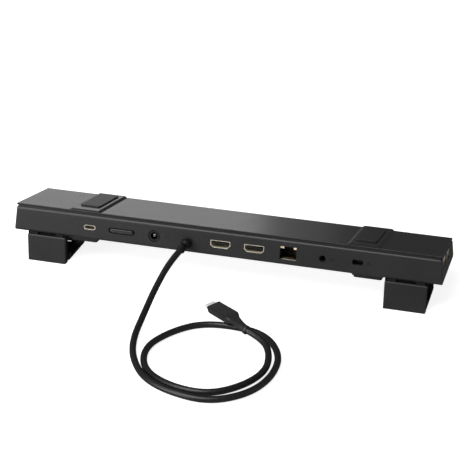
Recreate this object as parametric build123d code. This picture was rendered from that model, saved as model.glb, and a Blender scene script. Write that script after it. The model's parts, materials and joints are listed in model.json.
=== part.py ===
from build123d import *
import os
from math import atan, cos, degrees, radians, sin, tan

# Laptop docking station: a slim bar with its ports along the front face, two rubber
# rests for the laptop on top, a folding stand under each end and a captive cable.
# Units are millimetres.  Object frame: +X along the bar, +Y towards its back, +Z up,
# origin on the desk under the middle of the object (without its cable).
#
# Two working frames are used below.
#   bar frame:  origin at the middle of the top face's front edge, y back along the
#               top face, z out of the top face.
#   desk frame: origin on the desk under that edge, y back along the desk, z up.

# ------------------------------------------------------------------ driving dimensions
TOP_LENGTH = 320.0          # top face, end to end
TOP_DEPTH = 57.6            # top face, front to back
FRONT_HEIGHT = 21.5         # front face
FRONT_LEAN = 0.054          # how far the front face draws back per mm down
BACK_FLARE = 0.43           # how far the back wall runs out per mm down
END_FLARE = 0.098           # how far each end face runs out per mm down
BOTTOM_RISE = 0.1104        # rise of the underside per mm towards the back
WALL = 2.0
TILT = 12.5                 # the stands raise the front of the bar by this angle
EDGE_HEIGHT = 44.46         # top front edge above the desk
FRONT_SHIFT = -26.65        # the top front edge in the object frame, along Y

COVER_THICK = 1.3
SEAM = 1.1                  # shadow gap between the cover and the housing
SEAM_DEPTH = 0.9

REST_X = 105.2              # middle of each laptop rest
REST_FOOT = 25.0            # width of the raised rest at its foot
REST_TOP = 20.4             # and at its top
REST_RISE = 1.3
PAD_WIDTH = 15.4
PAD_SHIFT = -0.4            # the pads lie this far off the middle of the rests
PAD_Y = (10.6, 51.4)
PAD_THICK = 1.0
UNDER_X = 108.3             # middle of each rest on the underside
UNDER_WIDTH = 24.6
UNDER_FLANK = 1.7
UNDER_RISE = 2.6
UNDER_PAD = (20.6, 1.6)     # width and thickness of its rubber

STAND_X = 136.65            # middle of each stand
STAND_WIDTH = 30.3
LEAN = 5.85                 # the front leg leans forward by this angle on the desk
FACE_OUT = 3.4              # front face of the leg ahead of the pivots' line
LEG_THICK = 2.2
PIVOT_HIGH = 23.4           # upper pivots above the desk
PIVOT_LOW = 2.2             # lower front pivot above the desk
LINK_RISE = 0.6             # the rear pivots stand this much higher than the front ones
FOOT_FRONT = -5.33          # front bottom edge of the leg, desk frame
LINK_Y = 31.3               # lower rear pivot, desk frame
BASE_BACK = 35.2            # back end of the base plate, desk frame
BASE_TOP = 1.8
BASE_BOTTOM = 0.7
PIN_R = 0.8
RUN_FIT = 0.05              # radial clearance of the pins that turn
LOOSE_FIT = 0.30            # radial clearance of the pivot that closes the linkage
KNUCKLE_R = 1.8
LINK_R = 1.5
LINK_HALF_THICK = 0.8

PORT_PITCH = 25.4
PORT_Z = -12.2              # port centres below the top face, bar frame
GLAND_Z = -14.2
BOARD_TOP = -11.7
BOARD_THICK = 1.2
BOARD_Y = (3.4, 42.0)

CABLE_D = 4.6

# Cable route in the object frame: out of the boot, down to the desk, round an outer and
# an inner turn, and up over itself to the plug's neck.
ROUTE = [
    (-26.9, -39.8, 29.2), (-31, -50.8, 25.2), (-35, -73.8, 14.5), (-36, -98.8, 6.0),
    (-34, -123.8, 2.5), (-25, -147.8, 2.4), (-9, -169.8, 2.4), (14, -180.8, 2.4),
    (40, -183.8, 2.4), (61, -168.8, 2.4), (71, -145.8, 2.4), (71, -117.8, 2.4),
    (55, -93.8, 2.4), (31, -87.8, 2.4), (5, -90.8, 2.4), (-12, -108.8, 2.4),
    (-22, -132.8, 2.4), (-13, -159.8, 2.4), (10, -173.8, 2.4), (36, -175.8, 2.4),
    (55, -159.8, 2.4), (68, -139.8, 2.6), (67, -121.3, 4.8), (57, -109.3, 7.6),
    (42, -103.3, 9.2),
]

# Plug: middle of the overmould's front face in the object frame, and how it lies.
PLUG_FRONT = (7.5, -69.4, 4.0)
PLUG_HEADING = 134.0
PLUG_PITCH = -11.0
PLUG_ROLL = 10.0
PLUG_SIZE = (30.0, 10.6, 5.2)
PLUG_SHELL = (6.6, 8.3, 2.5)

BAR = Location((0, FRONT_SHIFT, EDGE_HEIGHT), (-TILT, 0, 0))
DESK = Location((0, FRONT_SHIFT, 0))
nodes = {}


# ------------------------------------------------------------------ small builders
def block(x0, x1, y0, y1, z0, z1):
    size = Box(x1 - x0, y1 - y0, z1 - z0)
    return Pos((x0 + x1) / 2, (y0 + y1) / 2, (z0 + z1) / 2) * size


def prism_x(outline, x0, x1):
    """Outline in (y, z), extruded along X from x0 to x1."""
    face = make_face(Polyline(*[Vector(0, y, z) for y, z in outline], close=True))
    return Pos(x0, 0, 0) * extrude(face, amount=x1 - x0, dir=(1, 0, 0))


def prism_y(outline, y0, y1):
    """Outline in (x, z), extruded along Y from y0 to y1."""
    face = make_face(Polyline(*[Vector(x, 0, z) for x, z in outline], close=True))
    return Pos(0, y0, 0) * extrude(face, amount=y1 - y0, dir=(0, 1, 0))


def rod_x(y, z, radius, x0, x1):
    return Pos((x0 + x1) / 2, y, z) * Rot(0, 90, 0) * Cylinder(radius, x1 - x0)


def rod_y(x, z, radius, y0, y1):
    return Pos(x, (y0 + y1) / 2, z) * Rot(90, 0, 0) * Cylinder(radius, y1 - y0)


def rod_z(x, y, radius, z0, z1):
    return Pos(x, y, (z0 + z1) / 2) * Cylinder(radius, z1 - z0)


def pill_y(x, z, width, height, y0, y1):
    """A bar with round ends, wider than high, along Y."""
    face = Plane(origin=(x, y0, z), x_dir=(1, 0, 0), z_dir=(0, -1, 0)) * SlotOverall(width, height)
    return extrude(face, amount=y1 - y0, dir=(0, 1, 0))


def group(shapes):
    """Separate solids kept in one node."""
    solids = [solid for shape in shapes for solid in shape.solids()]
    return Compound(solids)


def node(name, shape, frame=None):
    nodes[name] = frame * shape if frame else shape


# ------------------------------------------------------------------ bar shell
def bar_body(inset, top, floor):
    """The bar's tapered block, drawn in by inset at the sides and floor below."""
    slope = BOTTOM_RISE
    base = -FRONT_HEIGHT + floor - slope * FRONT_LEAN * FRONT_HEIGHT
    front_z = (base + slope * inset) / (1 + slope * FRONT_LEAN)
    back = TOP_DEPTH - inset * 1.09
    back_z = (base + slope * back) / (1 + slope * BACK_FLARE)
    side = [(inset - FRONT_LEAN * top, top), (back - BACK_FLARE * top, top),
            (back - BACK_FLARE * back_z, back_z), (inset - FRONT_LEAN * front_z, front_z)]
    half = TOP_LENGTH / 2 - inset
    low = -30
    ends = [(-half + END_FLARE * top, top), (half - END_FLARE * top, top),
            (half - END_FLARE * low, low), (-half + END_FLARE * low, low)]
    return prism_x(side, -200, 200) & prism_y(ends, -10, 90)


def edges_near(shape, axis, test):
    return [edge for edge in shape.edges().filter_by(axis) if test(edge.center())]


housing_top = -COVER_THICK - SEAM
outer = bar_body(0, housing_top, 0)
front_low = edges_near(outer, Axis.X, lambda c: c.Y < 5 and c.Z < -15)
outer = chamfer(front_low, 2.0)
front_high = edges_near(outer, Axis.X, lambda c: c.Y < 5 and c.Z > housing_top - 0.1)
outer = fillet(front_high, 2.0)
back_low = edges_near(outer, Axis.X, lambda c: c.Y > 55 and c.Z < -8)
outer = fillet(back_low, 1.6)
corners = [edge for edge in outer.edges() if edge.center().Y < 5 and edge.length > 12
           and abs(edge.center().X) > TOP_LENGTH / 2]
outer = fillet(corners, 0.6)
lip = bar_body(SEAM_DEPTH, -COVER_THICK, 10)
cavity = bar_body(WALL, 1, WALL)
housing = (outer + lip) - cavity

# Rests on the underside, under the ones on top.
UNDER = Location((0, FRONT_LEAN * FRONT_HEIGHT, -FRONT_HEIGHT), (degrees(atan(BOTTOM_RISE)), 0, 0))
UNDER_Y = (5.2, 58.0)
for side in (-1, 1):
    foot = UNDER_WIDTH / 2
    outline = [(-foot, 0.6), (foot, 0.6), (foot, -0.5), (foot - UNDER_FLANK, -UNDER_RISE),
               (-foot + UNDER_FLANK, -UNDER_RISE), (-foot, -0.5)]
    rest = prism_y(outline, *UNDER_Y)
    housing += UNDER * Pos(side * UNDER_X, 0, 0) * rest


# ------------------------------------------------------------------ top cover
cover = bar_body(0, 0, 0) & block(-200, 200, -10, 90, -COVER_THICK, 5)
cover_rim = [edge for edge in cover.edges() if edge.center().Z > -0.01]
cover = fillet(cover_rim, 0.35)
cover += bar_body(WALL + 0.15, -COVER_THICK, 14.9) & block(-200, 200, -10, 90, -2.6, -COVER_THICK)
cover -= bar_body(WALL + 1.6, -COVER_THICK, 14.9) & block(-200, 200, -10, 90, -9, -COVER_THICK)
for side in (-1, 1):
    outline = [(-REST_FOOT / 2, -0.3), (-REST_FOOT / 2, 0.0), (-REST_TOP / 2, REST_RISE),
               (REST_TOP / 2, REST_RISE), (REST_FOOT / 2, 0.0), (REST_FOOT / 2, -0.3)]
    rest = prism_y(outline, 0.15, TOP_DEPTH - 0.3)
    rest = fillet(edges_near(rest, Axis.Y, lambda c: abs(c.Z - REST_RISE) < 0.01), 0.7)
    ends = [edge for edge in rest.edges().filter_by(Axis.X) if edge.center().Z > REST_RISE - 0.1]
    rest = chamfer(ends, 0.5)
    cover += Pos(side * REST_X, 0, 0) * rest

# Screw bosses under the cover, along the back, reached from below.
SCREW_X = (-84.0, -30.0, 30.0, 84.0)
SCREW_Y = 48.5
BOSS_R = 3.2
SCREW_R = 1.25


def floor_z(y, above=0.0):
    """Underside of the bar at depth y, or a height above it, bar frame."""
    return -FRONT_HEIGHT + BOTTOM_RISE * (y - FRONT_LEAN * FRONT_HEIGHT) + above


screws = []
for x in SCREW_X:
    boss_end = floor_z(SCREW_Y, WALL) + 0.6
    cover += rod_z(x, SCREW_Y, BOSS_R, boss_end, -COVER_THICK + 0.1)
    cover -= rod_z(x, SCREW_Y, SCREW_R, boss_end - 1, -3.0)
    head_top = floor_z(SCREW_Y) + 1.1
    housing -= rod_z(x, SCREW_Y, SCREW_R + 0.25, -20, floor_z(SCREW_Y, WALL) + 1)
    housing -= rod_z(x, SCREW_Y, 2.7, -22, head_top)
    screw = rod_z(x, SCREW_Y, SCREW_R, head_top, -5.0)
    screw += rod_z(x, SCREW_Y, 2.4, head_top - 1.5, head_top)
    screw -= Pos(x, SCREW_Y, head_top - 1.5) * Box(2.8, 0.6, 1.4)
    screw -= Pos(x, SCREW_Y, head_top - 1.5) * Box(0.6, 2.8, 1.4)
    screws.append(screw)
node("case_screws", group(screws), BAR)


# ------------------------------------------------------------------ rubber pads
def pad(width, y0, y1, thick, radius):
    shape = block(-width / 2, width / 2, y0, y1, 0, thick)
    shape = fillet(shape.edges().filter_by(Axis.Z), radius)
    return fillet(shape.faces().sort_by(Axis.Z)[-1].edges(), 0.35)


for side, word in ((-1, "left"), (1, "right")):
    top_pad = Pos(side * REST_X + PAD_SHIFT, 0, REST_RISE)
    top_pad *= pad(PAD_WIDTH, *PAD_Y, PAD_THICK, 1.6)
    node(f"top_pad_{word}", top_pad, BAR)
    under_pad = Pos(side * UNDER_X, 0, -UNDER_RISE) * Rot(180, 0, 0)
    under_pad *= pad(UNDER_PAD[0], 1 - UNDER_Y[1], -UNDER_Y[0] - 0.5, UNDER_PAD[1], 1.6)
    node(f"bottom_pad_{word}", UNDER * under_pad, BAR)


# ------------------------------------------------------------------ front ports
board_cuts = []


def port_x(place):
    """Ports stand at equal steps either side of the bar's middle."""
    return place * PORT_PITCH


def shell_y(x, z, outline_outer, outline_inner, y0, depth):
    """An open metal tube along Y with a closed back."""
    outside = Pos(x, 0, z) * prism_y(outline_outer, y0, y0 + depth)
    inside = Pos(x, 0, z) * prism_y(outline_inner, y0 - 1, y0 + depth - 0.4)
    return outside - inside


SHELL_Y = 0.9

# USB-C receptacle
usb_c_x = port_x(-4)
usb_c = pill_y(usb_c_x, PORT_Z, 9.2, 3.5, SHELL_Y, 8.6)
usb_c -= pill_y(usb_c_x, PORT_Z, 8.5, 2.8, SHELL_Y - 1, 8.2)
node("usb_c_shell", usb_c, BAR)
tongue = block(usb_c_x - 3.35, usb_c_x + 3.35, 1.9, 8.2, PORT_Z - 0.35, PORT_Z + 0.35)
node("usb_c_tongue", fillet(tongue.edges().filter_by(Axis.Z), 0.3), BAR)
housing -= pill_y(usb_c_x, PORT_Z, 9.6, 3.9, -2, 6)
board_cuts.append(block(usb_c_x - 4.8, usb_c_x + 4.8, 0, 8.8, -20, 0))

# Power button in its recess, and the switch behind it
button_x = port_x(-3)
housing -= pill_y(button_x, PORT_Z, 20.7, 4.3, -2, 2.62)
housing -= pill_y(button_x, PORT_Z, 20.7, 4.3, 0, 6)
cap = pill_y(button_x, PORT_Z, 18.0, 2.9, 0.05, 3.1)
cap = fillet(cap.faces().sort_by(Axis.Y)[0].edges(), 0.5)
cap += pill_y(button_x, PORT_Z, 22.6, 5.9, 3.1, 4.0)
cap += rod_y(button_x, PORT_Z, 1.4, 4.0, 4.9)
node("power_button", cap, BAR)
switch = block(button_x - 4, button_x + 4, 6.6, 10.4, PORT_Z - 2, PORT_Z + 2)
switch += rod_y(button_x, PORT_Z, 1.2, 5.7, 6.6)
node("button_switch", switch, BAR)
board_cuts.append(block(button_x - 12, button_x + 12, 0, 6.4, -20, 0))
board_cuts.append(block(button_x - 4.1, button_x + 4.1, 0, 10.5, -20, 0))

# Barrel jack for the power supply
dc_x = port_x(-2)
dc_jack = rod_y(dc_x, PORT_Z, 3.95, 0.9, 3.2)
dc_jack += block(dc_x - 4.6, dc_x + 4.6, 3.2, 15.0, PORT_Z - 4.2, PORT_Z + 5.0)
dc_jack -= rod_y(dc_x, PORT_Z, 2.75, -1, 12.0)
node("dc_jack_body", dc_jack, BAR)
dc_pin = rod_y(dc_x, PORT_Z, 1.15, 2.2, 12.0)
dc_pin = fillet(dc_pin.faces().sort_by(Axis.Y)[0].edges(), 0.4)
dc_pin -= rod_y(dc_x, PORT_Z, 0.5, 1.0, 5.0)
node("dc_jack_pin", dc_pin, BAR)
housing -= rod_y(dc_x, PORT_Z, 4.5, -2, 6)
board_cuts.append(block(dc_x - 4.7, dc_x + 4.7, 0, 15.1, -20, 0))

# HDMI receptacles
HDMI_OUT = [(-7.5, 2.8), (7.5, 2.8), (7.5, -0.7), (5.4, -2.8), (-5.4, -2.8), (-7.5, -0.7)]
HDMI_IN = [(-7.05, 2.35), (7.05, 2.35), (7.05, -0.5), (5.2, -2.35), (-5.2, -2.35), (-7.05, -0.5)]
for number, place in ((1, 0), (2, 1)):
    x = port_x(place)
    node(f"hdmi_shell_{number}", shell_y(x, PORT_Z, HDMI_OUT, HDMI_IN, SHELL_Y, 11.0), BAR)
    insert = block(x - 5.6, x + 5.6, 2.2, 9.0, PORT_Z - 0.2, PORT_Z + 1.1)
    insert += block(x - 5.1, x + 5.1, 9.0, 11.5, PORT_Z - 2.2, PORT_Z + 2.2)
    node(f"hdmi_insert_{number}", insert, BAR)
    opening = [(px * 1.022, pz * 1.06) for px, pz in HDMI_OUT]
    housing -= Pos(x, 0, PORT_Z) * prism_y(opening, -2, 6)
    board_cuts.append(block(x - 7.7, x + 7.7, 0, 12.1, -20, 0))

# Ethernet jack: metal frame, moulding with its latch notch on top, contacts, light pipes
eth_x = port_x(2)
ETH_Y = 2.9
eth_frame = block(eth_x - 7.2, eth_x + 7.2, ETH_Y, 17.0, PORT_Z - 5.4, PORT_Z + 5.4)
eth_frame -= block(eth_x - 6.7, eth_x + 6.7, ETH_Y - 1, 16.5, PORT_Z - 4.9, PORT_Z + 4.9)
node("ethernet_shield", eth_frame, BAR)
eth_body = block(eth_x - 6.7, eth_x + 6.7, ETH_Y + 0.3, 16.5, PORT_Z - 4.9, PORT_Z + 4.9)
eth_body -= block(eth_x - 5.9, eth_x + 5.9, ETH_Y - 1, 13.5, PORT_Z - 4.3, PORT_Z + 2.5)
eth_body -= block(eth_x - 3.1, eth_x + 3.1, ETH_Y - 1, 13.5, PORT_Z + 2.4, PORT_Z + 4.4)
pipe_holes = []
for side in (-1, 1):
    middle = eth_x + side * 4.9
    low, high = PORT_Z + 2.8, PORT_Z + 4.5
    pipe_holes.append(block(middle - 1.3, middle + 1.3, ETH_Y - 0.1, 8.0, low, high))
    eth_body -= pipe_holes[-1]
node("ethernet_body", eth_body, BAR)
node("ethernet_lights", group(pipe_holes), BAR)
contacts = []
for place in range(8):
    x = eth_x - 3.57 + 1.02 * place
    wire = block(x - 0.2, x + 0.2, 4.0, 13.5, PORT_Z - 4.2, PORT_Z - 3.8)
    contacts.append(wire)
node("ethernet_contacts", group(contacts), BAR)
housing -= block(eth_x - 6.15, eth_x + 6.15, -2, 3, PORT_Z - 5.2, PORT_Z + 4.9)
housing -= block(eth_x - 7.3, eth_x + 7.3, ETH_Y - 0.2, 17.1, PORT_Z - 5.5, PORT_Z + 5.5)
board_cuts.append(block(eth_x - 7.3, eth_x + 7.3, 0, 17.1, -20, 0))

# Audio jack
audio_x = port_x(3)
AUDIO_Z = PORT_Z - 0.7
audio = rod_y(audio_x, AUDIO_Z, 2.45, 1.9, 3.2)
audio += block(audio_x - 3.5, audio_x + 3.5, 3.2, 15.0, AUDIO_Z - 2.9, AUDIO_Z + 2.9)
audio -= rod_y(audio_x, AUDIO_Z, 1.8, -1, 15.0)
node("audio_jack", audio, BAR)
housing -= rod_y(audio_x, AUDIO_Z, 2.6, -2, 6)
board_cuts.append(block(audio_x - 3.6, audio_x + 3.6, 0, 15.1, -20, 0))

# Slot for a security lock: a steel plate behind the wall
lock_x = port_x(4)
plate = block(lock_x - 8, lock_x + 8, 3.1, 4.3, PORT_Z - 5, PORT_Z + 5.5)
plate -= pill_y(lock_x, PORT_Z, 7.2, 3.0, 2, 6)
node("lock_plate", plate, BAR)
opening = block(lock_x - 3.9, lock_x + 3.9, -2, 3.1, PORT_Z - 1.9, PORT_Z + 1.9)
housing -= fillet(opening.edges().filter_by(Axis.Y), 1.1)
board_cuts.append(block(lock_x - 8.2, lock_x + 8.2, 0, 4.6, -20, 0))

# USB-A ports in the right end face
USB_A_Y = (13.0, 31.4)
USB_A_Z = -6.5
END_X = TOP_LENGTH / 2 - END_FLARE * USB_A_Z
for middle, word in zip(USB_A_Y, ("front", "rear")):
    y0, y1 = middle - 6.6, middle + 6.6
    z0, z1 = USB_A_Z - 2.9, USB_A_Z + 2.9
    shell = block(END_X - 14.5, END_X - 0.3, y0, y1, z0, z1)
    shell -= block(END_X - 14.1, END_X + 1, y0 + 0.4, y1 - 0.4, z0 + 0.4, z1 - 0.4)
    node(f"usb_a_shell_{word}", shell, BAR)
    tongue = block(END_X - 14.1, END_X - 1.5, y0 + 1.0, y1 - 1.0, USB_A_Z + 0.5, USB_A_Z + 2.3)
    node(f"usb_a_tongue_{word}", tongue, BAR)
    housing -= block(END_X - 5, END_X + 3, y0 - 0.2, y1 + 0.2, z0 - 0.2, z1 + 0.2)


# ------------------------------------------------------------------ electronics
board = block(-117, 117, *BOARD_Y, BOARD_TOP - BOARD_THICK, BOARD_TOP)
gland_x = port_x(-1)
board_cuts.append(block(gland_x - 5.4, gland_x + 5.4, 0, 13.2, -20, 0))
board_screws = []
POST_Y = 34.0
for x in (-108.0, -42.0, 42.0, 108.0):
    post_top = BOARD_TOP - BOARD_THICK
    housing += rod_z(x, POST_Y, 2.6, floor_z(POST_Y, WALL) - 0.8, post_top)
    housing -= rod_z(x, POST_Y, 0.9, floor_z(POST_Y, WALL) - 0.3, post_top + 1)
    board_cuts.append(rod_z(x, POST_Y, 1.1, -20, 0))
    screw = rod_z(x, POST_Y, 0.9, floor_z(POST_Y, WALL) + 0.2, BOARD_TOP)
    screw += rod_z(x, POST_Y, 2.2, BOARD_TOP, BOARD_TOP + 1.3)
    board_screws.append(screw)
for cut in board_cuts:
    board -= cut
node("main_board", board, BAR)
node("board_screws", group(board_screws), BAR)


def chip(x, y, width, depth, height):
    """A block standing on the board, around x and y."""
    low, high = BOARD_TOP, BOARD_TOP + height
    return block(x - width / 2, x + width / 2, y - depth / 2, y + depth / 2, low, high)


CHIP_HIGH = 1.1
node("controller_chip", chip(-6, 26, 13, 13, CHIP_HIGH), BAR)
node("video_chips", group([chip(16, 26, 10, 10, CHIP_HIGH), chip(31, 26, 8, 8, CHIP_HIGH)]), BAR)
node("usb_hub_chip", chip(-26, 26, 9, 9, CHIP_HIGH), BAR)
node("ethernet_chip", chip(68, 30, 8, 8, CHIP_HIGH), BAR)
node("ethernet_transformer", chip(52.4, 27, 15, 12, 5.6), BAR)
inductors = [chip(x, 30, 7, 7, 3.2) for x in (-92, -82, -72)]
node("power_inductors", group(inductors), BAR)
capacitors = [rod_z(x, 22, 2.6, BOARD_TOP, BOARD_TOP + 6.2) for x in (-94, -87, -66, -59)]
node("capacitors", group(capacitors), BAR)
spreader_low = BOARD_TOP + CHIP_HIGH
spreader = block(-33, 37, 17.5, 32.5, spreader_low, spreader_low + 1.2)
node("heat_spreader", spreader, BAR)

# Small board that carries the end ports, and the ribbon that joins the two boards
USB_BOARD_Z = USB_A_Z - 2.9
usb_board = block(124.0, END_X - 4.0, 5.0, 36.0, USB_BOARD_Z - 0.8, USB_BOARD_Z)
node("usb_board", usb_board, BAR)
ribbon = [(113.0, BOARD_TOP), (116.5, BOARD_TOP), (123.2, USB_BOARD_Z), (130.0, USB_BOARD_Z),
          (130.0, USB_BOARD_Z + 0.3), (123.0, USB_BOARD_Z + 0.3), (116.3, BOARD_TOP + 0.3),
          (113.0, BOARD_TOP + 0.3)]
node("board_ribbon", prism_y(ribbon, 14, 28), BAR)


# ------------------------------------------------------------------ folding stands
def leg_point(ahead, down):
    """A point of the front leg: ahead of the pivots' line, and down it from the top."""
    lean = radians(LEAN)
    return (HINGE_Y - down * sin(lean) - ahead * cos(lean),
            PIVOT_HIGH - down * cos(lean) + ahead * sin(lean))


HINGE_Y = FOOT_FRONT + PIVOT_HIGH * tan(radians(LEAN)) + FACE_OUT / cos(radians(LEAN))
LEG_LENGTH = (PIVOT_HIGH - PIVOT_LOW) / cos(radians(LEAN))
TOE_Y = HINGE_Y - LEG_LENGTH * sin(radians(LEAN))
LINK_TOP_Y = LINK_Y + LEG_LENGTH * sin(radians(LEAN))
LINK_LOW = PIVOT_LOW + LINK_RISE
LINK_HIGH = PIVOT_HIGH + LINK_RISE
LEG_TOP = 2.67
LEG_BOTTOM = 23.6
ARM_X = (7.2, 13.4)
LUG_X = (3.6, 6.8)
LINK_HALF = 5.2
LINK_CLEAR = 2.6
LINK_EDGE = 8.6
FLANGE = 1.0                # thickness of the leg's side flanges and the base's ears
NECK = (0.4, 1.7)           # the neck above the leg's face, ahead of the pivots' line
NECK_TOP = -0.6
LUG_SWEEP = 1.95            # the neck stays clear of the housing's lugs inside this radius
EAR_HIGH = 6.2
EAR_BACK = 9.0
WINDOW_HALF = 5.6
LINK_LUG_X = (5.6, 8.2)
TOE_X = (5.5, 12.4)
half_width = STAND_WIDTH / 2


def mirrored_x(make, x0, x1):
    """The same piece on both sides of the stand's middle."""
    return make(x0, x1) + make(-x1, -x0)


def leg_outline(points):
    return [leg_point(ahead, down) for ahead, down in points]


plate = prism_x(leg_outline([(FACE_OUT, LEG_TOP), (FACE_OUT, LEG_BOTTOM),
                             (FACE_OUT - LEG_THICK, LEG_BOTTOM),
                             (FACE_OUT - LEG_THICK, LEG_TOP)]), -half_width, half_width)
plate = fillet(plate.edges().filter_by(Axis.X).sort_by(Axis.Z)[-2:], 1.0)
plate = fillet(plate.edges().filter_by(Axis.X).sort_by(Axis.Z)[:1], 0.3)
upright = [edge for edge in plate.edges() if edge.length > 15 and abs(edge.center().X) > 15]
plate = fillet(upright, 0.5)
plate -= rod_x(TOE_Y, PIVOT_LOW, KNUCKLE_R + 0.35, -TOE_X[0] + 0.05, TOE_X[0] - 0.05)
arm_outline = leg_outline([(1.75, 0), (3.0, 2.2), (3.0, 5.0), (1.3, 5.0), (-0.9, 1.5)])
leg = plate + mirrored_x(lambda a, b: prism_x(arm_outline, a, b), *ARM_X)
leg += mirrored_x(lambda a, b: rod_x(HINGE_Y, PIVOT_HIGH, KNUCKLE_R, a, b), *ARM_X)
leg += mirrored_x(lambda a, b: rod_x(TOE_Y, PIVOT_LOW, KNUCKLE_R, a, b), *TOE_X)
web = leg_outline([(0, LEG_LENGTH - 1.7), (1.3, LEG_LENGTH - 1.7),
                   (1.3, LEG_LENGTH + 1.7), (0, LEG_LENGTH + 1.7)])
leg += mirrored_x(lambda a, b: prism_x(web, a, b), *TOE_X)
flange = leg_outline([(1.3, LEG_TOP), (-2.0, LEG_TOP + 1.2), (-2.0, LEG_LENGTH - 0.3),
                      (-1.0, LEG_LENGTH + 1.7), (1.3, LEG_LENGTH + 2.1)])
leg += mirrored_x(lambda a, b: prism_x(flange, a, b), half_width - FLANGE, half_width)
neck = leg_outline([(NECK[0], NECK_TOP), (NECK[1], NECK_TOP), (NECK[1], 5.0), (NECK[0], 5.0)])
leg += prism_x(neck, -LUG_X[0] + 0.4, LUG_X[0] - 0.4)
leg += mirrored_x(lambda a, b: prism_x(neck, a, b), LUG_X[1] + 0.3, half_width)
strip = leg_outline([(NECK[0], LUG_SWEEP), (NECK[1], LUG_SWEEP), (NECK[1], 5.0), (NECK[0], 5.0)])
leg += prism_x(strip, -half_width, half_width)
leg -= rod_x(HINGE_Y, PIVOT_HIGH, PIN_R + RUN_FIT, -20, 20)
leg -= rod_x(TOE_Y, PIVOT_LOW, PIN_R, -20, 20)

base = block(-half_width, half_width, TOE_Y + 2.9, BASE_BACK, BASE_BOTTOM, BASE_TOP)
base = fillet(base.edges().filter_by(Axis.Z).sort_by(Axis.Y)[-2:], 2.0)
base -= block(-WINDOW_HALF, WINDOW_HALF, LINK_Y - 2.1, LINK_Y + 2.1, 0, 9)
toe_inner = TOE_X[0] - 0.4
base += rod_x(TOE_Y, PIVOT_LOW, KNUCKLE_R, -toe_inner, toe_inner)
base += block(-toe_inner, toe_inner, TOE_Y, TOE_Y + 6.0, 1.4, 2.6)
ear_front = TOE_Y + 3.0
ear = [(ear_front, BASE_BOTTOM), (ear_front, EAR_HIGH - 0.8), (ear_front + 0.8, EAR_HIGH),
       (EAR_BACK - 3.0, EAR_HIGH), (EAR_BACK, BASE_BOTTOM)]
base += mirrored_x(lambda a, b: prism_x(ear, a, b), half_width - FLANGE, half_width)
base += mirrored_x(lambda a, b: rod_x(LINK_Y, LINK_LOW, LINK_R, a, b), *LINK_LUG_X)
base -= rod_x(TOE_Y, PIVOT_LOW, PIN_R + RUN_FIT, -20, 20)
base -= rod_x(LINK_Y, LINK_LOW, PIN_R, -LINK_LUG_X[1], LINK_LUG_X[1])


def link_outline(near, far):
    """The link's plate, between two distances down from its upper pivot."""
    top_y, low_y = (LINK_TOP_Y - down * sin(radians(LEAN)) for down in (near, far))
    top_z, low_z = (LINK_HIGH - down * cos(radians(LEAN)) for down in (near, far))
    thick = LINK_HALF_THICK
    return [(top_y - thick, top_z), (top_y + thick, top_z), (low_y + thick, low_z), (low_y - thick, low_z)]


link = prism_x(link_outline(0, LEG_LENGTH), -LINK_HALF, LINK_HALF)
wide = prism_x(link_outline(LINK_CLEAR, LEG_LENGTH - LINK_CLEAR), -half_width, half_width)
link += fillet(wide.edges().filter_by(Axis.Y, tolerance=20), 1.0)
upper = prism_x(link_outline(0, LINK_CLEAR + 2), LINK_EDGE, half_width)
link += upper + prism_x(link_outline(0, LINK_CLEAR + 2), -half_width, -LINK_EDGE)
link += rod_x(LINK_TOP_Y, LINK_HIGH, LINK_R, -LINK_HALF, LINK_HALF)
link += rod_x(LINK_Y, LINK_LOW, LINK_R, -LINK_HALF, LINK_HALF)
link -= rod_x(LINK_TOP_Y, LINK_HIGH, PIN_R + RUN_FIT, -20, 20)
link -= rod_x(LINK_Y, LINK_LOW, PIN_R + LOOSE_FIT, -20, 20)

sole = block(-half_width + 0.2, half_width - 0.2, TOE_Y + 4.2, BASE_BACK - 0.4, 0, BASE_BOTTOM)
sole = fillet(sole.edges().filter_by(Axis.Z), 1.5)
sole -= block(-LINK_LUG_X[1] - 0.4, LINK_LUG_X[1] + 0.4, LINK_Y - 3, LINK_Y + 9, -1, 2)

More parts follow.
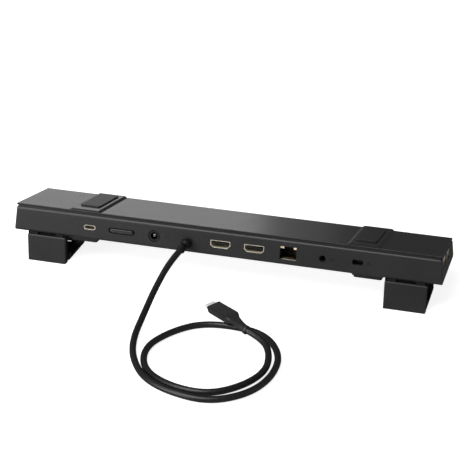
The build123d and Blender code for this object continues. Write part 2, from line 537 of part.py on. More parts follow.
# Pocket in the housing that takes the folded stand, with a skin over it.
CEILING = 25.8
DROP = 23.3
SKIN = 0.8
pocket_outline = [(-1.7, 10.0), (-1.7, CEILING), (36.2, CEILING), (53.0, DROP), (64.0, DROP), (64.0, 10.0)]
skin_outline = [(-1.9, 23.4), (-1.9, CEILING + SKIN), (36.2, CEILING + SKIN), (53.0, DROP + SKIN),
                (57.0, DROP + SKIN), (57.0, 17.6)]
pocket_half = half_width + 0.5
housing = BAR * housing
bar_space = BAR * bar_body(0.6, housing_top, 0.6)
for side, word in ((-1, "left"), (1, "right")):
    here = DESK * Pos(side * STAND_X, 0, 0)
    skin = here * prism_x(skin_outline, -pocket_half - 1.2, pocket_half + 1.2)
    housing += skin & bar_space
    housing -= here * prism_x(pocket_outline, -pocket_half, pocket_half)
    for y, z, lugs, reach in ((HINGE_Y, PIVOT_HIGH, LUG_X, 1.7), (LINK_TOP_Y, LINK_HIGH, LINK_LUG_X, LINK_R)):
        lug = mirrored_x(lambda a, b: block(a, b, y - reach, y + reach, z, CEILING + 0.3), *lugs)
        lug += mirrored_x(lambda a, b: rod_x(y, z, reach, a, b), *lugs)
        housing += here * lug
        housing -= here * rod_x(y, z, PIN_R, -lugs[1], lugs[1])
    pins = [rod_x(HINGE_Y, PIVOT_HIGH, PIN_R, -ARM_X[1], ARM_X[1]),
            rod_x(LINK_TOP_Y, LINK_HIGH, PIN_R, -LINK_LUG_X[1], LINK_LUG_X[1])]
    node(f"stand_leg_{word}", leg, here)
    node(f"stand_base_{word}", base, here)
    node(f"stand_link_{word}", link, here)
    node(f"stand_sole_{word}", sole, here)
    node(f"stand_upper_pins_{word}", group(pins), here)
    node(f"stand_toe_pin_{word}", rod_x(TOE_Y, PIVOT_LOW, PIN_R, -TOE_X[1], TOE_X[1]), here)
    node(f"stand_link_pin_{word}", rod_x(LINK_Y, LINK_LOW, PIN_R, -LINK_LUG_X[1], LINK_LUG_X[1]), here)


# ------------------------------------------------------------------ cable
gland_front = -0.3
gland = rod_y(gland_x, GLAND_Z, 3.9, gland_front, 3.0)
gland += rod_y(gland_x, GLAND_Z, 4.8, 3.0, 4.6)
node("cable_gland", gland, BAR)
housing -= BAR * rod_y(gland_x, GLAND_Z, 4.0, -2, 2.99)
tail = rod_y(gland_x, GLAND_Z, CABLE_D / 2, 4.6, 13.0)
node("cable_tail", tail, BAR)

route = [Vector(*point) for point in ROUTE]
radii = []
for before, here, after in zip(route, route[1:], route[2:]):
    turn = radians((here - before).get_angle(after - here))
    shorter = min((here - before).length, (after - here).length)
    radii.append(0.45 * shorter / tan(turn / 2))
print("cable radii:", [round(radius, 1) for radius in radii])
path = FilletPolyline(*route, radius=radii)
section = Plane(origin=route[0], z_dir=route[1] - route[0]) * Circle(CABLE_D / 2)
cable = sweep(section, path=path)
ideal = section.area * path.length
print("cable length", round(path.length, 1), "volume", round(cable.volume), "of", round(ideal))
node("cable_tube", cable)

# Boot: a ball at the gland that leans with the cable, then a short taper
boot_root = (BAR * Pos(gland_x, gland_front - 1.2, GLAND_Z)).position
boot_end = route[0]
boot_axis = boot_end - boot_root
taper = Plane(origin=boot_root, z_dir=boot_axis) * Pos(0, 0, boot_axis.length / 2)
boot = taper * Cone(3.7, 2.9, boot_axis.length)
boot += Pos(*boot_root) * Sphere(3.7)
boot -= BAR * block(gland_x - 9, gland_x + 9, gland_front, 9, GLAND_Z - 9, GLAND_Z + 9)
lead = Plane(origin=boot_end, z_dir=route[1] - route[0])
boot -= lead * Pos(0, 0, 5) * Cylinder(9, 10)
node("cable_boot", boot)

# Plug: overmould, metal shell and the neck that leads to the cable
heading, pitch = radians(PLUG_HEADING), radians(PLUG_PITCH)
along = Vector(cos(heading) * cos(pitch), sin(heading) * cos(pitch), sin(pitch))
level = Vector(sin(heading), -cos(heading), 0)
across = level.rotate(Axis((0, 0, 0), along), -PLUG_ROLL)
plug = Plane(origin=PLUG_FRONT, x_dir=across, z_dir=along)
length, width, thick = PLUG_SIZE
overmould = Pos(0, 0, -length / 2) * Box(width, thick, length)
overmould = chamfer(overmould.edges().filter_by(Axis.Z), 0.9)
overmould = fillet(overmould.faces().sort_by(Axis.Z)[-1].edges(), 0.5)
node("plug_body", plug * overmould)
shell_long, shell_wide, shell_thick = PLUG_SHELL
tip = extrude(SlotOverall(shell_wide, shell_thick), amount=shell_long)
tip -= Pos(0, 0, 1.0) * extrude(SlotOverall(shell_wide - 0.7, shell_thick - 0.7), amount=shell_long)
node("plug_shell", plug * tip)
neck_back = Plane(origin=route[-1], x_dir=across, z_dir=route[-2] - route[-1])
neck_front = Plane(origin=(plug * Pos(0, 0, -length)).position, x_dir=across, z_dir=-along)
neck_start = neck_front * RectangleRounded(width - 2.6, thick - 0.4, 1.6)
neck_end = neck_back * Circle(3.0)
neck = loft(Sketch() + [neck_start.face(), neck_end.face()])
node("plug_neck", neck)

node("lower_housing", housing)
node("top_cover", cover, BAR)

# ------------------------------------------------------------------ write the parts
os.makedirs("parts", exist_ok=True)
for name, shape in nodes.items():
    export_step(shape, f"parts/{name}.step")

own = [shape for name, shape in nodes.items() if not name.startswith(("cable_tube", "cable_boot", "plug"))]
size = group(own).bounding_box()
print("object box", size.min, size.max, "nodes", len(nodes))
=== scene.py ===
"""Laptop docking station: looks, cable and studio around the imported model."""
import json
import math

import bmesh
import bpy
from mathutils import Matrix, Vector


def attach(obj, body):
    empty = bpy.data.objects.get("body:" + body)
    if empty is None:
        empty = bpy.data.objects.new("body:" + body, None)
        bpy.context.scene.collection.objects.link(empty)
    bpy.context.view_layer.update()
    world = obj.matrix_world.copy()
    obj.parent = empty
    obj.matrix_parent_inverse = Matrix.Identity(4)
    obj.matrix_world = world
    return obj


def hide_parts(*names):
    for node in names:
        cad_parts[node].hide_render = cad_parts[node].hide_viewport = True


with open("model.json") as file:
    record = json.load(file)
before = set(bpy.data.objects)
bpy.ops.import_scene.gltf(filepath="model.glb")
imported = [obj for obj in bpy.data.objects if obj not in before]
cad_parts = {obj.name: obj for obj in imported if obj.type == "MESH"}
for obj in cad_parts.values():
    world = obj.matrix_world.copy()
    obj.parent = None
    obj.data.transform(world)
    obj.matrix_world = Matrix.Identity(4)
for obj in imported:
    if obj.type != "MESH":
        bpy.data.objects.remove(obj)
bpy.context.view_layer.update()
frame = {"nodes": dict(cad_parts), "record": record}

MM = 0.001
TILT = math.radians(12.5)
FRONT_EDGE = Vector((0, -26.65, 44.46)) * MM
BAR = Matrix.Translation(FRONT_EDGE) @ Matrix.Rotation(-TILT, 4, "X") @ Matrix.Scale(MM, 4)
LEG_LEAN = math.radians(5.85)
LEG_PLATE_BACK = 1.9 * MM        # how far the leg's front plate starts ahead of its pivot
LEG_PLATE_TOP = 2.6 * MM         # and how far below it
HINGE_AT = (-26.165 * MM, 23.4 * MM)     # the leg's upper pivot, y and z
scene = bpy.context.scene


# ------------------------------------------------------------------ camera
CAMERA_LENS = 106.6
CAMERA_SENSOR = 36
CAMERA_AT = (0.2666, -0.88865, 0.4880)
CAMERA_RIGHT = (0.959146, 0.282889, -0.003528)
CAMERA_UP = (-0.122968, 0.428097, 0.895328)
CAMERA_BACK = (0.254797, -0.858315, 0.445393)


def add_camera():
    camera = bpy.data.objects.new("camera", bpy.data.cameras.new("camera"))
    camera.data.lens = CAMERA_LENS
    camera.data.sensor_width = CAMERA_SENSOR
    camera.data.clip_start = 0.01
    axes = Matrix((CAMERA_RIGHT, CAMERA_UP, CAMERA_BACK)).transposed()
    camera.matrix_world = Matrix.Translation(CAMERA_AT) @ axes.to_4x4()
    scene.collection.objects.link(camera)
    scene.camera = camera


add_camera()


# ------------------------------------------------------------------ materials
NOISE_SPAN = (0.3, 0.7)          # the part of a noise's range that its values mostly fill


class Shader:
    """A small node-tree builder around one Principled BSDF."""

    def __init__(self, name, roughness, metallic=0.0, specular=0.5):
        self.material = bpy.data.materials.new(name)
        self.material.use_nodes = True
        self.tree = self.material.node_tree
        self.bsdf = self.tree.nodes["Principled BSDF"]
        self.bsdf.inputs["Roughness"].default_value = roughness
        self.bsdf.inputs["Metallic"].default_value = metallic
        self.bsdf.inputs["Specular IOR Level"].default_value = specular
        self.place = self.node("ShaderNodeTexCoord").outputs["Object"]

    def node(self, kind):
        return self.tree.nodes.new(kind)

    def link(self, output, target):
        self.tree.links.new(output, target)

    def noise(self, scale, detail=3.0, rough=0.5, stretch=None):
        node = self.node("ShaderNodeTexNoise")
        node.inputs["Scale"].default_value = scale
        node.inputs["Detail"].default_value = detail
        node.inputs["Roughness"].default_value = rough
        place = self.place
        if stretch:
            mapping = self.node("ShaderNodeMapping")
            mapping.inputs["Scale"].default_value = stretch
            self.link(place, mapping.inputs["Vector"])
            place = mapping.outputs["Vector"]
        self.link(place, node.inputs["Vector"])
        return node.outputs["Fac"]

    def colour(self, value, dark, light):
        node = self.node("ShaderNodeValToRGB")
        first, last = node.color_ramp.elements
        first.position, last.position = NOISE_SPAN
        first.color, last.color = (*dark, 1), (*light, 1)
        self.link(value, node.inputs["Fac"])
        self.link(node.outputs["Color"], self.bsdf.inputs["Base Color"])

    def rough(self, value, low, high):
        node = self.node("ShaderNodeMapRange")
        node.inputs["From Min"].default_value, node.inputs["From Max"].default_value = NOISE_SPAN
        node.inputs["To Min"].default_value = low
        node.inputs["To Max"].default_value = high
        self.link(value, node.inputs["Value"])
        self.link(node.outputs["Result"], self.bsdf.inputs["Roughness"])

    def bump(self, value, strength, distance):
        node = self.node("ShaderNodeBump")
        node.inputs["Strength"].default_value = strength
        node.inputs["Distance"].default_value = distance
        self.link(value, node.inputs["Height"])
        self.link(node.outputs["Normal"], self.bsdf.inputs["Normal"])


def grey(level):
    return (level, level, level)


def textured(name, level, roughness, grain, depth, specular=0.5, spread=0.12):
    """A moulded plastic or rubber: spark texture, slow cloudy changes of tone and gloss."""
    made = Shader(name, roughness, specular=specular)
    cloud = made.noise(38, 4, 0.6)
    made.colour(cloud, grey(level * (1 - spread)), grey(level * (1 + spread)))
    made.rough(cloud, roughness * 0.96, roughness * 1.04)
    made.bump(made.noise(grain, 2, 0.6), 0.5, depth * MM)
    return made.material


def metal(name, colour, roughness, stretch, depth=0.01, scratch=900, metallic=1.0):
    """Drawn or plated sheet with a fine grain along one direction."""
    made = Shader(name, roughness, metallic=metallic)
    grain = made.noise(scratch, 3, 0.6, stretch)
    made.colour(grain, tuple(0.82 * c for c in colour), colour)
    made.rough(grain, roughness - 0.06, roughness + 0.08)
    made.bump(grain, 0.25, depth * MM)
    return made.material


def laminate(name):
    """Very dark green solder mask, made near black as painted shade for the inside of the housing, with
    the tracks' pattern under it.
    """
    made = Shader(name, 0.32, specular=0.5)
    brick = made.node("ShaderNodeTexBrick")
    brick.inputs["Scale"].default_value = 300
    brick.inputs["Mortar Size"].default_value = 0.012
    brick.inputs["Color1"].default_value = (0.002, 0.004, 0.003, 1)
    brick.inputs["Color2"].default_value = (0.003, 0.006, 0.004, 1)
    brick.inputs["Mortar"].default_value = (0.006, 0.014, 0.009, 1)
    made.link(made.place, brick.inputs["Vector"])
    made.link(brick.outputs["Color"], made.bsdf.inputs["Base Color"])
    made.bump(brick.outputs["Fac"], 0.3, 0.02 * MM)
    return made.material


def light_pipe(name):
    """Milky plastic that looks faintly lit from inside."""
    made = Shader(name, 0.25, specular=0.5)
    made.colour(made.noise(500), (0.75, 0.62, 0.4), (0.9, 0.8, 0.6))
    made.bsdf.inputs["Emission Color"].default_value = (0.9, 0.75, 0.5, 1)
    made.bsdf.inputs["Emission Strength"].default_value = 0.35
    return made.material


MATERIALS = {
    "housing_plastic": textured("housing_plastic", 0.020, 0.37, 2600, 0.012, spread=0.06),
    "cover_plastic": textured("cover_plastic", 0.016, 0.24, 2600, 0.005, spread=0.05),
    "rubber": textured("rubber", 0.014, 0.42, 1600, 0.012, 0.5),
    "connector_metal": metal("connector_metal", (0.90, 0.83, 0.69), 0.34, (1, 9, 1), 0.004, metallic=0.5),
    "connector_plastic": textured("connector_plastic", 0.006, 0.45, 2200, 0.02, 0.4),
    "contact_gold": metal("contact_gold", (0.95, 0.72, 0.34), 0.22, (1, 6, 1)),
    "light_pipe": light_pipe("light_pipe"),
    "steel": metal("steel", (0.56, 0.56, 0.57), 0.32, (9, 1, 1)),
    "button_plastic": textured("button_plastic", 0.026, 0.30, 2400, 0.015),
    "circuit_board": laminate("circuit_board"),
    "chip_plastic": textured("chip_plastic", 0.012, 0.5, 3000, 0.02),
    "ferrite": textured("ferrite", 0.08, 0.7, 2500, 0.05),
    "aluminium": metal("aluminium", (0.78, 0.78, 0.79), 0.35, (7, 1, 1)),
    "stand_plastic": textured("stand_plastic", 0.018, 0.40, 2600, 0.03),
    # stand_steel: a black finish, made near-black and matt as painted shade for the inside of the stand.
    "stand_steel": textured("stand_steel", 0.004, 0.6, 1800, 0.03, 0.2),
    "cable_jacket": textured("cable_jacket", 0.014, 0.36, 1800, 0.008, 0.5),
    "plug_plastic": textured("plug_plastic", 0.020, 0.42, 2600, 0.012, 0.5),
    # plug_metal: nearly white and hardly metallic, a painted reflection of white surroundings in the
    # plated shell.
    "plug_metal": metal("plug_metal", (0.99, 0.99, 0.99), 0.35, (1, 1, 6), 0.001, 300, 0.1),
}
BOOT_RUBBER = textured("boot_rubber", 0.006, 0.55, 1800, 0.01, 0.3)
# Near-black and matt: painted shade, used on the leg's hinge necks and knuckles, the hinge covers and the
# lock plate.
PAINTED_SHADE = textured("painted_hinge_shade", 0.004, 0.6, 1800, 0.02, 0.15)
SLOT_OF = {row["node"]: row["material_slot"] for row in frame["record"]["subparts"]}


def paint(piece, slot):
    piece.data.materials.clear()
    piece.data.materials.append(MATERIALS[slot])


for name, piece in frame["nodes"].items():
    paint(piece, SLOT_OF[name])


def paint_hinge_shade():
    """Painted shade: the necks and knuckles behind the leg's front plate get a matt, darker material."""
    for word in ("left", "right"):
        leg = frame["nodes"]["stand_leg_" + word]
        leg.data.materials.append(PAINTED_SHADE)
        for face in leg.data.polygons:
            back = face.center.y - HINGE_AT[0]
            up = face.center.z - HINGE_AT[1]
            ahead = up * math.sin(LEG_LEAN) - back * math.cos(LEG_LEAN)
            down = -up * math.cos(LEG_LEAN) - back * math.sin(LEG_LEAN)
            if ahead < LEG_PLATE_BACK or down < LEG_PLATE_TOP:
                face.material_index = 1


paint_hinge_shade()
# Painted shade: the lock slot's plate is made matt and near-black, like the shadow inside the slot.
frame["nodes"]["lock_plate"].data.materials[0] = PAINTED_SHADE


# ------------------------------------------------------------------ mesh helpers
LATHE_STEPS = 40
SHARP_ANGLE = math.radians(32)   # edges sharper than this stay sharp on a smooth piece
BOX_FACES = ((3, 2, 1, 0), (4, 5, 6, 7), (0, 1, 5, 4), (1, 2, 6, 5), (2, 3, 7, 6), (3, 0, 4, 7))


def add_mesh(name, mesh_data, slot, body="root", smooth=False):
    mesh = bpy.data.meshes.new(name)
    mesh_data.to_mesh(mesh)
    mesh_data.free()
    piece = bpy.data.objects.new(name, mesh)
    scene.collection.objects.link(piece)
    if smooth:
        for face in mesh.polygons:
            face.use_smooth = True
    paint(piece, slot)
    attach(piece, body)
    return piece


def join_rings(made, rings):
    """Walls between neighbouring rings of vertices, and a cap on each end."""
    for one, two in zip(rings, rings[1:]):
        for step in range(len(one)):
            after = (step + 1) % len(one)
            made.faces.new((one[step], one[after], two[after], two[step]))
    made.faces.new(list(reversed(rings[0])))
    made.faces.new(rings[-1])


def add_box(made, corners):
    """A box in the bar frame from eight corners: four round one side, then the four across from them."""
    verts = [made.verts.new(BAR @ Vector(corner)) for corner in corners]
    for face in BOX_FACES:
        made.faces.new([verts[place] for place in face])


def split_sharp(piece):
    sharp = piece.modifiers.new("edges", "EDGE_SPLIT")
    sharp.split_angle = SHARP_ANGLE


def lathe(profile, start, axis):
    """Turn (distance along the axis, radius) pairs, in millimetres, round an axis."""
    turn = Vector(axis).to_track_quat("Z", "Y").to_matrix().to_4x4()
    place = Matrix.Translation(start) @ turn
    made = bmesh.new()
    rings = []
    for along, radius in profile:
        ring = []
        for step in range(LATHE_STEPS):
            angle = 2 * math.pi * step / LATHE_STEPS
            point = Vector((radius * math.cos(angle), radius * math.sin(angle), along)) * MM
            ring.append(made.verts.new(place @ point))
        rings.append(ring)
    join_rings(made, rings)
    return made


# ------------------------------------------------------------------ cable
CABLE_D = 0.0046
# The CAD source's route in metres, with some points moved a few millimetres.
ROUTE = [
    (-0.0269, -0.0398, 0.0292), (-0.031, -0.0508, 0.0252), (-0.0347, -0.0738, 0.0145),
    (-0.0350, -0.0988, 0.0060), (-0.0332, -0.1238, 0.0025), (-0.025, -0.1478, 0.0024),
    (-0.009, -0.1698, 0.0024), (0.014, -0.1808, 0.0024), (0.040, -0.1838, 0.0024),
    (0.061, -0.1688, 0.0024), (0.0705, -0.1458, 0.0024), (0.0692, -0.1180, 0.0024),
    (0.0535, -0.0950, 0.0024), (0.0305, -0.0888, 0.0024), (0.005, -0.0916, 0.0024),
    (-0.012, -0.1088, 0.0024), (-0.022, -0.1328, 0.0024), (-0.013, -0.1598, 0.0024),
    (0.010, -0.1738, 0.0024), (0.0364, -0.1763, 0.0024), (0.0553, -0.1606, 0.0024),
    (0.0650, -0.1398, 0.0026), (0.0625, -0.1213, 0.0048), (0.0550, -0.1093, 0.0076),
    (0.042, -0.1033, 0.0092),
]

# Plug: the middle of its front face, in mm, and how it lies, as in the CAD source.
PLUG_FRONT = Vector((7.5, -69.4, 4.0))
PLUG_HEADING = math.radians(134.0)
PLUG_PITCH = math.radians(-11.0)
PLUG_ROLL = math.radians(-10.0)
PLUG_LENGTH = 30.0
# Sections of the grip: distance from the front, width, height, squareness, and how far it dips.
GRIP = [
    (0.0, 9.7, 4.2, 9, 0), (0.15, 10.2, 4.7, 9, 0), (0.5, 10.6, 5.15, 9, 0), (6, 10.6, 5.2, 9, 0),
    (12, 10.6, 5.2, 9, 0), (18, 10.6, 5.2, 9, 0), (24, 10.6, 5.2, 9, 0), (28.5, 10.6, 5.2, 9, 0),
    (29.6, 10.3, 5.1, 8, 0), (30.6, 9.5, 4.7, 7, 0.1), (31.6, 8.5, 4.2, 5, 0.3), (33, 7.7, 3.9, 4, 0.35),
    (35, 7.1, 3.9, 3.2, 0.3), (38, 6.6, 4.2, 2.8, 0.15), (41, 6.2, 4.7, 2.4, 0.05), (44, 6.0, 5.3, 2.2, 0),
    (46.4, 5.9, 5.6, 2.1, 0), (46.5, 5.5, 5.3, 2, 0), (46.9, 5.5, 5.3, 2, 0),
]
GRIP_STEPS = 48
# The collar's (distance, radius) from the cable's last point, in mm.
ENTRY_COLLAR = [(-3.2, 2.55), (-2.2, 2.6), (-2.15, 3.0), (-1.95, 3.12), (-0.45, 3.12), (-0.15, 2.98),
                (-0.1, 2.2)]


def hermite(start, leave, end, arrive, share):
    """A point on the smooth run between two points with given directions."""
    square, cube = share ** 2, share ** 3
    return (start * (2 * cube - 3 * square + 1) + leave * (cube - 2 * square + share)
            + end * (3 * square - 2 * cube) + arrive * (cube - square))


def squared_ring(made, middle, side, up, width, height, square):
    """A ring of vertices round a section that runs from round (2) to nearly square (9)."""
    ring = []
    for step in range(GRIP_STEPS):
        angle = 2 * math.pi * (step + 0.5) / GRIP_STEPS
        u, v = math.cos(angle), math.sin(angle)
        u = math.copysign(abs(u) ** (2 / square), u) * width / 2
        v = math.copysign(abs(v) ** (2 / square), v) * height / 2
        ring.append(made.verts.new((middle + side * u + up * v) * MM))
    return ring


def add_plug():
    """The overmould with its shoulders and saddle, and the collar where the cable enters."""
    along = Vector((math.cos(PLUG_HEADING) * math.cos(PLUG_PITCH),
                    math.sin(PLUG_HEADING) * math.cos(PLUG_PITCH), math.sin(PLUG_PITCH)))
    level = Vector((math.sin(PLUG_HEADING), -math.cos(PLUG_HEADING), 0))
    across = Matrix.Rotation(PLUG_ROLL, 3, along) @ level
    back = PLUG_FRONT - along * PLUG_LENGTH
    entry = Vector(ROUTE[-1]) / MM
    lead = (Vector(ROUTE[-2]) / MM - entry).normalized()
    reach = (entry - back).length
    made = bmesh.new()
    rings = []
    for distance, width, height, square, dip in GRIP:
        if distance <= PLUG_LENGTH:
            middle, heading = PLUG_FRONT - along * distance, -along
        else:
            share = (distance - PLUG_LENGTH) / reach
            middle = hermite(back, -along * reach, entry, lead * reach, share)
            heading = (-along).lerp(lead, share).normalized()
        side = (across - heading * across.dot(heading)).normalized()
        up = side.cross(heading)
        if up.z < 0:
            up = -up
        rings.append(squared_ring(made, middle - up * dip, side, up, width, height, square))
    join_rings(made, rings)
    bmesh.ops.recalc_face_normals(made, faces=made.faces)
    grip = add_mesh("plug_grip", made, "plug_plastic", smooth=True)
    split_sharp(grip)
    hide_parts("plug_body", "plug_neck")
    collar = add_mesh("plug_collar", lathe(ENTRY_COLLAR, entry * MM, lead), "plug_plastic", smooth=True)
    split_sharp(collar)
    return grip, collar


def add_cable(plug_pieces):
    curve = bpy.data.curves.new("cable", "CURVE")
    curve.dimensions = "3D"
    spline = curve.splines.new("NURBS")
    spline.points.add(len(ROUTE) - 1)
    for point, place in zip(spline.points, ROUTE):
        point.co = (*place, 1)
    spline.order_u = 3
    spline.use_endpoint_u = True
    spline.resolution_u = 16
    curve.bevel_depth = CABLE_D / 2
    curve.bevel_resolution = 6
    cable = bpy.data.objects.new("cable", curve)
    scene.collection.objects.link(cable)
    paint(cable, "cable_jacket")
    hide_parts("cable_tube")
    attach(cable, "root")


add_cable(add_plug())


# ------------------------------------------------------------------ modelled details
BOOT_ROOT = BAR @ Vector((-25.4, -1.5, -14.2))
BALL_R = 3.75
BALL_ARC = (-12, 5.6025, 11)     # first angle in degrees, step and number of rings of the ball
COLLAR = [(3.5, 2.62), (5.3, 2.62), (5.45, 2.95), (5.7, 3.1), (6.6, 3.1), (6.75, 2.95), (6.8, 2.78),
          (7.05, 2.78), (7.1, 2.95), (7.25, 3.1), (8.3, 3.08), (8.6, 2.95), (8.75, 2.7), (8.75, 2.2)]


def add_boot():
    """A ball in the wall, a short neck and a grooved collar round the cable."""
    first, apart, count = BALL_ARC
    ball = []
    for step in range(count):
        angle = math.radians(first + step * apart)
        ball.append((BALL_R * math.sin(angle), BALL_R * math.cos(angle)))
    made = lathe(ball + COLLAR, BOOT_ROOT, Vector(ROUTE[0]) - BOOT_ROOT)
    boot = add_mesh("boot", made, "cable_jacket", smooth=True)
    boot.data.materials[0] = BOOT_RUBBER
    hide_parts("cable_boot")


def bar_boxes(boxes):
    """Boxes given by their low and high corners in the bar frame, in millimetres."""
    made = bmesh.new()
    for (x0, y0, z0), (x1, y1, z1) in boxes:
        outline = ((x0, y0), (x1, y0), (x1, y1), (x0, y1))
        add_box(made, [(x, y, z) for z in (z0, z1) for x, y in outline])
    return made


PORT_PITCH = 25.4
PORT_Z = -12.2
USB_A_Y = (("front", 13.0), ("rear", 31.4))
USB_A_Z = -6.5
# Where a receptacle's contact strips lie, in mm from its middle.
HDMI_OFFSETS = [step - 4.5 for step in range(10)]
USB_C_OFFSETS = [0.5 * step - 2.75 for step in range(12)]
USB_A_OFFSETS = (-3.5, -1.0, 1.0, 3.5)
# A strip: half its width, where it starts and ends on the tongue, and its lower and upper faces
# from the receptacle's middle.
HDMI_STRIP = (0.22, (2.5, 8.6), [(-0.26, -0.18)])
USB_C_STRIP = (0.14, (2.2, 7.6), [(0.33, 0.41), (-0.41, -0.33)])
USB_A_STRIP = (0.5, (147.5, 158.4), [(0.42, 0.52)])


def front_strips(middle, offsets, strip):
    """Boxes of the contact strips in a receptacle of the front face."""
    half, (start, end), faces = strip
    return [((middle + x - half, start, PORT_Z + low), (middle + x + half, end, PORT_Z + high))
            for x in offsets for low, high in faces]


def end_strips(middle, offsets, strip):
    """The same in a receptacle of the right end face."""
    half, (start, end), faces = strip
    return [((start, middle + y - half, USB_A_Z + low), (end, middle + y + half, USB_A_Z + high))
            for y in offsets for low, high in faces]


def add_contacts():
    """Gold strips on the tongues of the HDMI, USB-C and USB-A receptacles."""
    made = {
        "hdmi_contacts_1": front_strips(0, HDMI_OFFSETS, HDMI_STRIP),
        "hdmi_contacts_2": front_strips(PORT_PITCH, HDMI_OFFSETS, HDMI_STRIP),
        "usb_c_contacts": front_strips(-4 * PORT_PITCH, USB_C_OFFSETS, USB_C_STRIP),
    }
    for word, middle in USB_A_Y:
        made[f"usb_a_contacts_{word}"] = end_strips(middle, USB_A_OFFSETS, USB_A_STRIP)
    for name, strips in made.items():
        add_mesh(name, bar_boxes(strips), "contact_gold")


# Generic marks beside three of the jacks: x and z of the mark's middle in the bar frame, then
# its strokes in mm from there, across and up.
MARKS = {
    "mark_power": (-40.6, -12.0, [
        [(-1.6, 0.5), (1.6, 0.5)],
        [(-1.6, -0.4), (-0.9, -0.4)],
        [(-0.35, -0.4), (0.35, -0.4)],
        [(0.9, -0.4), (1.6, -0.4)],
    ]),
    "mark_audio": (83.2, -12.6, [
        [(-1.4, -1.0), (-1.4, 0.1), (-1.0, 0.9), (0, 1.25), (1.0, 0.9), (1.4, 0.1), (1.4, -1.0)],
        [(-1.0, -1.1), (-1.0, -0.2)],
        [(1.0, -1.1), (1.0, -0.2)],
    ]),
    "mark_lock": (109.8, -12.2, [
        [(-1.1, 0.1), (1.1, 0.1), (1.1, -1.2), (-1.1, -1.2), (-1.1, 0.1)],
        [(-0.7, 0.1), (-0.7, 0.8), (0, 1.3), (0.7, 0.8), (0.7, 0.1)],
    ]),
}
MARK_WIDTH = 0.36
MARK_LIFT = 0.02
FRONT_LEAN = 0.054


def stroke_corners(start, end):
    """The four corners of a straight stroke, with half its width added past each end."""
    run = (end - start).normalized() * MARK_WIDTH / 2
    side = Vector((-run.y, run.x))
    return [start - run - side, end + run - side, end + run + side, start - run + side]


def add_marks():
    """Thin printed strokes, laid on the front face."""
    for name, (x, z, strokes) in MARKS.items():
        made = bmesh.new()
        for stroke in strokes:
            for start, end in zip(stroke, stroke[1:]):
                corners = []
                for lift in (0, MARK_LIFT):
                    for point in stroke_corners(Vector(start), Vector(end)):
                        height = z + point.y
                        corners.append((x + point.x, -FRONT_LEAN * height - lift, height))
                add_box(made, corners)
        mark = add_mesh(name, made, "connector_plastic")
        mark.visible_shadow = False


STAND_X = 136.65                 # middle of each stand, in mm like the rest
LINK_TOP_AT = (6.822, 24.0)      # upper pivot of the rear link, y and z, in mm
LINK_LENGTH = 21.311             # between the link's pivots
SHELL_RADII = (1.95, 2.3)
SHELL_ARC = range(20, 96, 5)     # degrees below the horizontal, round the front of the pivot
SHELL_HALF = 7.3
SKIRT_HALF_THICK = 0.79
SKIRT_HIGH = 3.2
SKIRT_X = (8.6, 15.1)


def extruded(outline, spans):
    """A closed (y, z) outline in mm, drawn out along X over each of the spans."""
    made = bmesh.new()
    for low, high in spans:
        ends = [[made.verts.new(Vector((x, y, z)) * MM) for y, z in outline] for x in (low, high)]
        join_rings(made, ends)
    bmesh.ops.recalc_face_normals(made, faces=made.faces)
    return made


def add_hinge_covers():
    """A curved cover round each leg's pivot, and a skirt at the foot of each rear link."""
    hinge_y, hinge_z = (value / MM for value in HINGE_AT)
    for word, middle in (("left", -STAND_X), ("right", STAND_X)):
        inner, outer = [], []
        for angle in SHELL_ARC:
            turn = math.radians(angle)
            for radius, side in zip(SHELL_RADII, (inner, outer)):
                side.append((hinge_y - radius * math.cos(turn), hinge_z - radius * math.sin(turn)))
        cover = extruded(outer + inner[::-1], [(middle - SHELL_HALF, middle + SHELL_HALF)])
        piece = add_mesh(f"hinge_cover_{word}", cover, "stand_plastic", f"leg_{word}")
        # Painted shade on the hinge cover, which sits in the shadow under the bar.
        piece.data.materials[0] = PAINTED_SHADE
        skirt = []
        for across, above in ((-1, SKIRT_HIGH), (1, SKIRT_HIGH), (1, 0), (-1, 0)):
            down = LINK_LENGTH - above
            y = LINK_TOP_AT[0] - down * math.sin(LEG_LEAN) + across * SKIRT_HALF_THICK
            skirt.append((y, LINK_TOP_AT[1] - down * math.cos(LEG_LEAN)))
        near, far = SKIRT_X
        spans = [(middle - far, middle - near), (middle + near, middle + far)]
        # The skirts take stand_steel's painted shade.
        add_mesh(f"link_skirt_{word}", extruded(skirt, spans), "stand_steel", f"link_{word}")


add_boot()
add_hinge_covers()
add_contacts()
add_marks()


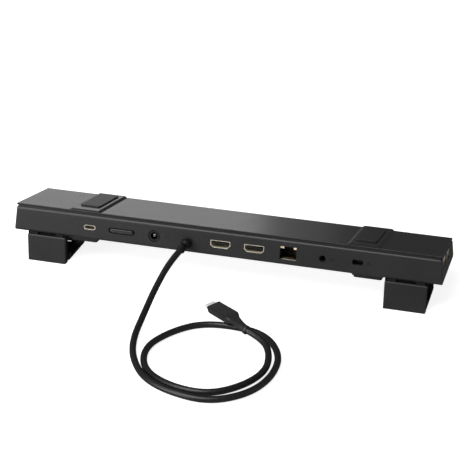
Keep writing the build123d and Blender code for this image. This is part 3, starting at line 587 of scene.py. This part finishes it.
# ------------------------------------------------------------------ studio
FLOOR_HALF = 6.0
FLOOR_DROP = 0.0001              # keeps the floor just under what stands on it


def add_floor():
    size = FLOOR_HALF
    mesh = bpy.data.meshes.new("floor")
    corners = [(-size, -size, 0), (size, -size, 0), (size, size, 0), (-size, size, 0)]
    mesh.from_pydata(corners, [], [(0, 1, 2, 3)])
    floor = bpy.data.objects.new("floor", mesh)
    floor.location.z = -FLOOR_DROP
    scene.collection.objects.link(floor)
    made = Shader("floor", 0.9, specular=0.0)
    made.colour(made.noise(3), grey(0.79), grey(0.81))
    made.bsdf.inputs["Emission Color"].default_value = (1, 1, 1, 1)
    made.bsdf.inputs["Emission Strength"].default_value = 0.85
    mesh.materials.append(made.material)
    floor.visible_glossy = False


def add_light(name, place, target, size, power):
    light = bpy.data.lights.new(name, "AREA")
    light.shape = "RECTANGLE"
    light.size, light.size_y = size
    light.energy = power
    lamp = bpy.data.objects.new(name, light)
    lamp.location = place
    aim = Vector(target) - Vector(place)
    lamp.rotation_euler = aim.to_track_quat("-Z", "Y").to_euler()
    lamp.visible_camera = False
    scene.collection.objects.link(lamp)


def add_studio():
    scene.view_settings.view_transform = "Standard"
    world = bpy.data.worlds.new("studio")
    world.use_nodes = True
    sky = world.node_tree.nodes["Background"]
    sky.inputs["Color"].default_value = (1, 1, 1, 1)
    sky.inputs["Strength"].default_value = 0.08
    scene.world = world
    add_floor()
    add_light("key", (-0.5, -0.9, 1.5), (0, 0, 0), (1.2, 1.2), 22)
    add_light("back_card", (-0.84, 1.5, 0.2), (-0.05, 0, 0.04), (1.0, 0.5), 1.5)
    add_light("back_fill", (-0.285, 1.5, 0.2), (-0.05, 0, 0.04), (0.16, 0.5), 0.045)
    add_light("front_card", (-1.1, -1.2, 0.35), (-0.15, 0, 0.03), (0.9, 0.6), 11)
    add_light("right_card", (1.2, 0.02, 0.1), (0.16, 0, 0.03), (0.5, 0.18), 0.3)
    add_light("edge_card", (0.9, 1.3, 0.45), (0.16, 0, 0.04), (0.5, 0.35), 0.8)


add_studio()
